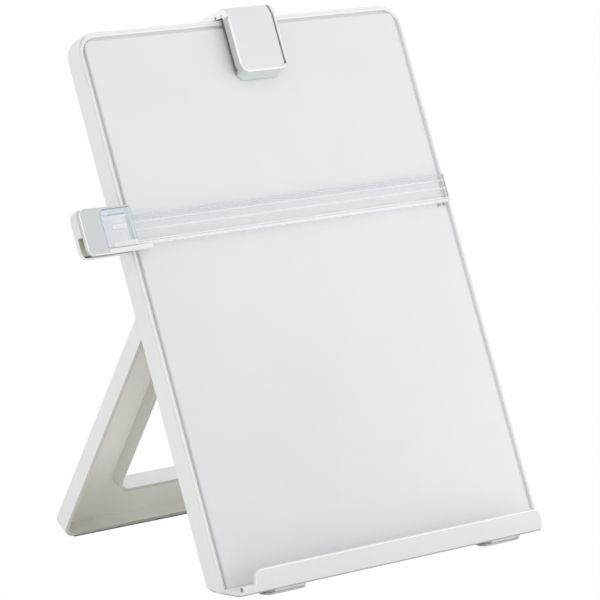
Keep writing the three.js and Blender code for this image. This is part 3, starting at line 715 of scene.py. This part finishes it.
def ledge_moulding():
    """Base plate, lip and curb; behind the face it lies between the side walls."""
    plan = outline([(-HALF, -LEDGE_FRONT, 2.2), (LIP_HALF, -LEDGE_FRONT, 3), (HALF, -1.6, 4), (HALF, 0.5),
                    (114.6, 0.5), (114.6, 2.5), (-114.6, 2.5), (-114.6, 0.5), (-HALF, 0.5)])
    low, high = underside(-LEDGE_REACH), underside(LEDGE_REACH)
    section = [(-LEDGE_REACH, low), (LEDGE_REACH, high),
               (LEDGE_REACH, high + LEDGE_T), (-LEDGE_REACH, low + LEDGE_T)]
    plate = common(extrude(section, -119, 119, "x"), extrude(plan, -10, 40, "z"))
    lip_back = -LEDGE_FRONT + LIP_T
    lip_foot = 5.0
    lip = outline([(-LIP_HALF, lip_foot), (LIP_HALF, lip_foot, 1.2), (LIP_HALF, LIP_TOP, 7.5),
                   (-LIP_HALF, LIP_TOP, 4.5)])
    curb = box(CURB_END, -LEDGE_FRONT, lip_foot, -98, lip_back, CURB_TOP)
    ledge = join(plate, extrude(lip, -LEDGE_FRONT, lip_back, "y"), curb)

    def under_edge(edge):
        return all(v.co.z < underside(v.co.y) + 0.05 and v.co.y < 0.6 for v in edge.verts)

    def lip_edge(edge):
        return all(v.co.y < 0.02 - LEDGE_FRONT and v.co.z > CURB_TOP - 0.1 for v in edge.verts)

    soften(ledge, 1.1, pick=under_edge, clamp=False)
    soften(ledge, 0.4, pick=lip_edge, clamp=False)
    soften(ledge, 0.4)
    for x in (-LEDGE_SCREW_X, LEDGE_SCREW_X):
        ledge = cut(ledge, rod("z", -5, 12, (x, LEDGE_SCREW_Y), LEDGE_SCREW_R))
    return ledge


def ledge_zone(at, facing):
    """Painted shade on the underside and on the curb's cut end; a painted highlight along the lip's upper
    edge.
    """
    if facing.x < -0.7 and abs(at.x - CURB_END) < 0.3 and at.z > 6.8:
        return CURB_END_SHADE
    if facing.z < -0.2:
        return UNDER_SHADE
    if at.z > CURB_TOP and at.y < -14 and facing.y < -0.15 and (facing.z > 0.25 or facing.x < -0.25):
        return PAINTED_LIGHT
    return CURB if CURB_END - 0.2 < at.x < -106.5 and at.z > 7.0 and at.y < -12 else LEDGE


place("ledge_moulding", ledge_moulding(), TABLE, "board", "shell",
      [LEDGE, UNDER_SHADE, PAINTED_LIGHT, CURB, CURB_END_SHADE], ["ledge"], ledge_zone)


# ---- the leg, and the cover above it ----
LEG_DEPTH, LEG_WALL = 10.3, 2.4


def leg_zone(at, facing):
    """Painted light inside the tray, which is also smoother; painted shade on its rim and the window's left
    side; painted light on the window's sill.
    """
    floor = facing.y < -0.5 and at.y > LEG_DEPTH - LEG_WALL - 0.5
    wall = 86 < abs(at.x) < 113.5 and at.z > 1.5 and at.y < LEG_DEPTH - LEG_WALL
    base = facing.z > 0.5 and at.z < 8
    window_sill = facing.z > 0.7 and 32 < at.z < 34
    window_side = facing.x < -0.3 and -90 < at.x < 0 and at.z > 30
    rim = facing.y < -0.5 and at.y < 1
    if window_sill:
        return PAINTED_LIGHT
    if window_side or rim:
        return LEG_EDGE_SHADE
    return LEG_INSIDE_LIT if floor or wall or base else SHELL


place("leg_moulding", soften(from_cad("leg_shell", LEG), 0.45, 2), LEG, "leg", "shell",
      [SHELL, LEG_INSIDE_LIT, PAINTED_LIGHT, LEG_EDGE_SHADE], ["leg_shell"], leg_zone)
place("rear_panel", soften(from_cad("rear_cover", BOARD), 0.3, 2), BOARD, "board", "shell", [SHELL],
      ["rear_cover"])


# ---- the clip ----
CLIP_LEFT, CLIP_RIGHT = -16.0, 18.4
CLIP_FRONT, CLIP_LOW, CLIP_TIP = 9.0, 287.8, 284.6
CLIP_TOP, CLIP_BEHIND = 327.4, 18.5
ABOVE_CLIP = 340         # where a cutting outline ends, clear of the clip
CLIP_WALL = 2.0
CLIP_PIN_Y, CLIP_PIN_Z, CLIP_PIN_R = 3, 323.9, 1.0
HOLLOW_LEFT, HOLLOW_RIGHT = CLIP_LEFT + CLIP_WALL, CLIP_RIGHT - CLIP_WALL
GROOVE_LEFT, GROOVE_RIGHT, GROOVE_LOW, GROOVE_DEPTH = 15.2, 16.6, 290.0, 1.0
LEVER_FOOT = 321.5       # the lever's painted light starts here
TIP_REACH = 7.0          # height over which the rear of the jaw bends down to its tip


def clip_moulding():
    """Front plate with side skirts, a tip that reaches down to the face, and a wedge-shaped lever."""
    side = outline([
        (-CLIP_FRONT, CLIP_LOW), (-0.5, CLIP_LOW), (-0.5, CLIP_LOW + 1.8), (-3.5, CLIP_LOW + 3),
        (-3.5, 322.3), (0.8, 322.7), (8.6, 324.1), (CLIP_BEHIND, 326.5), (CLIP_BEHIND, CLIP_TOP),
        (-6.6, CLIP_TOP, 4), (-CLIP_FRONT, 320.5, 6),
    ])
    front = outline([(CLIP_LEFT, CLIP_LOW, 6), (CLIP_RIGHT, CLIP_LOW, 6),
                     (CLIP_RIGHT, ABOVE_CLIP), (CLIP_LEFT, ABOVE_CLIP)])
    jaw = common(extrude(side, CLIP_LEFT, CLIP_RIGHT, "x"), extrude(front, -20, 30, "y"))
    hollow = outline([
        (-7, CLIP_LOW + 2), (-2, CLIP_LOW + 2), (-2, 322.8), (30, 322.8), (30, 325.5), (-4.6, 325.5, 3),
        (-7, 320, 4),
    ])
    hollow_front = outline([(HOLLOW_LEFT, CLIP_LOW, 5), (HOLLOW_RIGHT, CLIP_LOW, 5),
                            (HOLLOW_RIGHT, ABOVE_CLIP), (HOLLOW_LEFT, ABOVE_CLIP)])
    jaw = cut(jaw, common(extrude(hollow, HOLLOW_LEFT, HOLLOW_RIGHT, "x"),
                          extrude(hollow_front, -20, 40, "y")))
    # room for the bracket's screws, strips of painted shade that narrow the gap to the board, a dimple and
    # the pin's hole
    jaw = cut(jaw, box(HOLLOW_LEFT, 5.8, 320, HOLLOW_RIGHT, 12.6, 324.6))
    for x0 in (-15.3, 16.3):
        jaw = join(jaw, box(x0, -3.7, 290.5, x0 + 1.4, -0.9, 321))
    dimple = rod("x", -20, -14.6, (-2.8, 323.4), 0.7)
    pin_hole = rod("x", -20, 20, (CLIP_PIN_Y, CLIP_PIN_Z), CLIP_PIN_R)
    jaw = cut(jaw, dimple, pin_hole, clip_groove())

    def outside(edge):
        """Clear of the groove, whose edges stay as cut."""
        return all(v.co.x < GROOVE_LEFT - 0.1 or v.co.x > GROOVE_RIGHT + 0.1 or v.co.z < GROOVE_LOW - 0.1
                   for v in edge.verts)

    def front_edge(edge):
        return max(v.co.y for v in edge.verts) < 0.1 - CLIP_FRONT and outside(edge)

    def lever_edge(edge):
        return min(v.co.z for v in edge.verts) > 320.4 and outside(edge)

    soften(jaw, 0.9, angle=40, pick=front_edge, clamp=False)
    soften(jaw, 0.3, angle=40, pick=lever_edge)
    for vert in jaw.verts:
        inward = min(1, max(0, (CLIP_FRONT + vert.co.y) / (CLIP_FRONT - 0.5)))
        low = min(1, max(0, (CLIP_LOW + TIP_REACH - vert.co.z) / TIP_REACH))
        vert.co.z -= (CLIP_LOW - CLIP_TIP) * inward * low * low
    return slit(jaw, "z", LEVER_FOOT)


def clip_groove():
    """The narrow groove that runs up the front and over the top, a constant depth below the surface."""
    kept = extrude(outline([
        (-CLIP_FRONT + GROOVE_DEPTH, 280), (5, 280), (5, CLIP_TOP - GROOVE_DEPTH),
        (-6.1, CLIP_TOP - GROOVE_DEPTH, 3.6), (-CLIP_FRONT + GROOVE_DEPTH, 320.3, 5.5),
    ]), GROOVE_LEFT - 1, GROOVE_RIGHT + 1, "x")
    return cut(box(GROOVE_LEFT, -12, GROOVE_LOW, GROOVE_RIGHT, -4, 330), kept)


def clip_zone(at, facing):
    """Painted shade inside, on the strips, in the groove, under the tip and on the left side; painted
    highlights on the lever's side and the rounded edges.
    """
    inside = HOLLOW_LEFT - 0.1 < at.x < HOLLOW_RIGHT + 0.1 and -7.2 < at.y < 6 and at.z < 325.6
    inward = facing.x * (1 - at.x) + facing.y * (-3 - at.y) + facing.z * (308 - at.z)
    strip = -3.8 < at.y < -0.4 and 290.4 < at.z < 321.2
    groove = GROOVE_LEFT - 0.05 < at.x < GROOVE_RIGHT + 0.05 and at.z > GROOVE_LOW - 0.1
    if inside and inward > 0 or strip:
        return DARK_SHADE
    if groove and (at.y < -7.9 or at.z > 320.3):
        return CLIP_GROOVE_SHADE
    if facing.z < -0.35 and at.z < CLIP_LOW + 1 and at.y > -8:
        return CLIP_UNDERSIDE_SHADE
    if facing.x < -0.6 and at.y > -8.05:
        return CLIP_SIDE_SHADE if at.z < LEVER_FOOT else PAINTED_LIGHT
    rounded = facing.y < -0.2 and (abs(facing.x) > 0.25 or facing.z < -0.25) and at.z < 320
    return PAINTED_LIGHT if rounded else CLIP_FACE


place("clip_moulding", clip_moulding(), BOARD, "clip", "shell",
      [CLIP_FACE, DARK_SHADE, CLIP_SIDE_SHADE, PAINTED_LIGHT, CLIP_UNDERSIDE_SHADE, CLIP_GROOVE_SHADE], ["clip_jaw"], clip_zone)


# ---- the line guide ----
BAR_LOW, BAR_HIGH, BAR_RIGHT = 196.6, 213.8, 115.6
BAR_FRONT = 3.2
BLOCK_LEFT, BLOCK_RIGHT, BLOCK_TOP = -137.7, -117.0, 218.5
RIDGES = [(201.0, 0.18), (205.2, 0.35), (210.3, 0.5)]    # height up the board, and rise above the bar
RIDGE_HALF = 0.6
PALE_WIDTH = 4.6         # the block's left band of painted light
SHADE_LEFT = BLOCK_RIGHT - 4.3     # and its right band of painted shade, with a painted dark line half a millimetre wide on each side
SHADE_RIGHT = BLOCK_RIGHT - 0.5
BAND_LINE = 0.5
LIT_FOOT = 3.0           # height of the painted highlight band along the lower edge
END_FEET, END_FOOT_WIDTH = (107.4, 111.6), 1.3     # two small feet under the bar's free end


def bar_section():
    """The ribbed bar's section: a thick lower lip, three fine ridges and a thinner upper lip."""
    points = [(-0.6, BAR_LOW), (-4.0, BAR_LOW), (-4.0, BAR_LOW + 1.7), (-BAR_FRONT, BAR_LOW + 2.2)]
    for at, rise in RIDGES:
        for k in range(5):
            points.append((-BAR_FRONT - rise * math.sin(math.pi * k / 4), at + RIDGE_HALF * (k / 2 - 1)))
    points += [(-BAR_FRONT, BAR_HIGH - 1.7), (-3.8, BAR_HIGH - 1.3), (-3.8, BAR_HIGH), (-0.6, BAR_HIGH)]
    return points


def guide_bar():
    """The clear block under the cap and the ribbed bar, one moulding."""
    bar = extrude(bar_section(), BLOCK_RIGHT - 0.2, BAR_RIGHT, "x")
    end_slant = [(BAR_RIGHT - 1, -6), (BAR_RIGHT + 1, -6), (BAR_RIGHT + 1, -0.6), (BAR_RIGHT, -0.6)]
    bar = cut(bar, extrude(end_slant, 190, 220, "z"))
    section = [(-4.6, BAR_LOW), (-6.8, BAR_LOW), (-6.8, 214.7), (-6.35, 214.9), (-6.35, 215.3), (-6.9, 215.5),
               (-6.9, BLOCK_TOP - 0.5), (-6.4, BLOCK_TOP), (-4.6, BLOCK_TOP)]
    block = extrude(section, BLOCK_LEFT, BLOCK_RIGHT, "x")
    shape = outline([(BLOCK_LEFT, BAR_LOW, 1.2), (BLOCK_RIGHT, BAR_LOW), (BLOCK_RIGHT, BLOCK_TOP),
                     (BLOCK_LEFT, BLOCK_TOP, 2.7)])
    block = common(block, extrude(shape, -9, 0, "y"))
    neck = box(BLOCK_RIGHT - 2.2, -5, BAR_LOW, BLOCK_RIGHT, -0.6, BAR_HIGH)
    hook = box(BAR_RIGHT - 1.2, -1.6, BAR_LOW + 1, BAR_RIGHT, 1.2, BAR_HIGH - 1)
    rib = extrude(rectangle(-132.2, 206.7, -122, 209.3, 1.25), -7.3, -6.5, "y")
    bar = join(bar, block, neck, hook, rib)
    for x in END_FEET:
        bar = join(bar, box(x, -1.5, BAR_LOW - 1.5, x + END_FOOT_WIDTH, -0.6, BAR_LOW + 0.5))
    bar = cut(bar, rod("y", -6.3, 0, (-126, 208), 0.82))
    soften(bar, 0.12, 2)
    slit(bar, "z", BAR_LOW + LIT_FOOT)
    return slit(bar, "x", BLOCK_LEFT + PALE_WIDTH, SHADE_LEFT - BAND_LINE, SHADE_LEFT, SHADE_RIGHT)


def clear_zone(at, facing):
    """Which edges of the clear moulding carry painted light or shade."""
    return bar_zone(at, facing) if at.x > BLOCK_RIGHT else block_zone(at)


def bar_zone(at, facing):
    """Painted shade on the upper lip and the top, a painted highlight on the lower lip and the underside, the
    darkest painted shade on the end and its feet, and painted highlights on the ridges.
    """
    end_face = facing.x > 0.7 and at.y < -0.7 and at.x > BAR_RIGHT - 1.2
    end_feet = at.z < BAR_LOW - 0.1 and at.x > 100
    if end_face or end_feet:
        return CLEAR_END_SHADE
    if at.y < -BAR_FRONT - 0.05 and at.z > BAR_HIGH - 1.7 or facing.z > 0.7:
        return CLEAR_LIP_SHADE
    if at.y < -BAR_FRONT + 0.1 and at.z < BAR_LOW + 2.9 or facing.z < -0.7:
        return CLEAR_HIGHLIGHT
    on_ridge = any(abs(at.z - height) < RIDGE_HALF for height, _ in RIDGES[1:])
    return CLEAR_RIDGE_HIGHLIGHT if on_ridge and at.y < -BAR_FRONT - 0.02 else CLEAR_BODY


def block_zone(at):
    """Painted light in a pale band at the left, painted shade in a band at the right, a painted blue
    reflection at the top, and painted highlights on the rib and the foot.
    """
    if at.y < -6.85 and at.z < 210 or at.z < BAR_LOW + LIT_FOOT and at.x > BLOCK_LEFT + 1.5:
        return CLEAR_HIGHLIGHT
    if at.x < BLOCK_LEFT + PALE_WIDTH:
        return CLEAR_PALE_LIGHT
    if at.x > SHADE_LEFT - BAND_LINE:
        return CLEAR_SHADE if SHADE_LEFT < at.x < SHADE_RIGHT else CLEAR_SHADE_LINE
    if at.z > 215.4:
        return CLEAR_SKY_REFLECTION
    return CLEAR_SHADE_LINE if at.z > 214.6 else CLEAR_BLOCK


CAP_EDGE = -137.5        # the cap's plate is left of this, its rail and tongue right of it


def guide_cap():
    """The lever plate, with a rounded edge round its free end that carries a painted highlight."""
    cap = from_cad("guide_cap", BOARD)
    front = min(v.co.y for v in cap.verts)

    def free_end(edge):
        return all(v.co.y < front + 0.02 for v in edge.verts) and any(v.co.x < -137 for v in edge.verts)

    soften(cap, 0.45, angle=40, pick=free_end, clamp=False)
    return slit(soften(cap, 0.3, 2), "x", CAP_EDGE)


def cap_zone(at, facing):
    """The rail and the tongue behind the block are the lighter plastic, and the free edge has a painted
    highlight.
    """
    if at.x < -136 and facing.y < -0.2 and (facing.z < -0.25 or facing.x < -0.25):
        return PAINTED_LIGHT
    rail = at.x > CAP_EDGE and at.z < 197.4
    tongue = at.x > -137 and 205 < at.z < 211
    return SHELL if rail or tongue else CAP_GREY


OLIVE_SHADE_EDGE = -138.4     # right end of the painted olive shade in the slider's front
OLIVE_FOOT = 195.4
SLIT_LOW, SLIT_HIGH = 194.2, 198.4
SHADE_FOOT = 205.2       # above this the slider has painted shade


def guide_slider():
    """The body behind the cap, split where its painted shades meet."""
    slider = slit(soften(from_cad("guide_slider", BOARD), 0.35, 2), "x", OLIVE_SHADE_EDGE)
    return slit(slider, "z", SLIT_LOW, OLIVE_FOOT, SLIT_HIGH, SHADE_FOOT)


def slider_zone(at, facing):
    """Its front shows painted olive shade and a painted dark line of shade in the slit between it and the
    cap; the upper part has painted shade.
    """
    front = facing.y < -0.7 and abs(at.y - 0.2) < 0.2
    if at.z > SHADE_FOOT and (facing.x < -0.3 or facing.y < -0.3):
        return SLIDER_SHADE
    if front and at.x < OLIVE_SHADE_EDGE and at.z > OLIVE_FOOT:
        return OLIVE_SHADE
    return DARK_SHADE if front and SLIT_LOW < at.z < SLIT_HIGH else SHELL


place("guide_bar_moulding", guide_bar(), BOARD, "guide_arm", "clear",
      [CLEAR_BODY, CLEAR_HIGHLIGHT, CLEAR_LIP_SHADE, CLEAR_END_SHADE, CLEAR_PALE_LIGHT, CLEAR_SHADE, CLEAR_SKY_REFLECTION, CLEAR_SHADE_LINE,
       CLEAR_BLOCK, CLEAR_RIDGE_HIGHLIGHT], ["guide_bar"], clear_zone)
place("guide_cap_moulding", guide_cap(), BOARD, "guide_arm", "shell", [CAP_GREY, SHELL, PAINTED_LIGHT],
      ["guide_cap"], cap_zone)
place("guide_slider_moulding", guide_slider(), BOARD, "guide_slide", "shell",
      [SHELL, OLIVE_SHADE, DARK_SHADE, SLIDER_SHADE], ["guide_slider"], slider_zone)


# ---- the feet ----
FOOT_END_LENGTH = 6.5


def place_foot(side):
    """An oval foot, whose left end is darker, and the tread under it."""
    foot = soften(from_cad("foot_" + side, TABLE), 0.5)
    end = min(v.co.x for v in foot.verts) + FOOT_END_LENGTH

    def foot_zone(at, _):
        return FOOT_END if at.x < end else FOOT

    place("foot_%s_moulding" % side, slit(foot, "x", end), TABLE, "board", "foot", [FOOT, FOOT_END],
          ["foot_" + side], foot_zone)
    tread = soften(from_cad("foot_pad_" + side, TABLE), 0.6, 4)
    place("foot_%s_tread" % side, tread, TABLE, "board", "rubber", [TREAD], ["foot_pad_" + side])


for side in ("left", "right"):
    place_foot(side)


# ---- pieces whose CAD shape is already right ----
slots = {row["node"]: row["material_slot"] for row in frame["record"]["subparts"]}
for name, node in frame["nodes"].items():
    if not node.hide_render:
        node.data.materials.clear()
        node.data.materials.append(BY_SLOT[slots[name]])

make_camera()
make_stage()
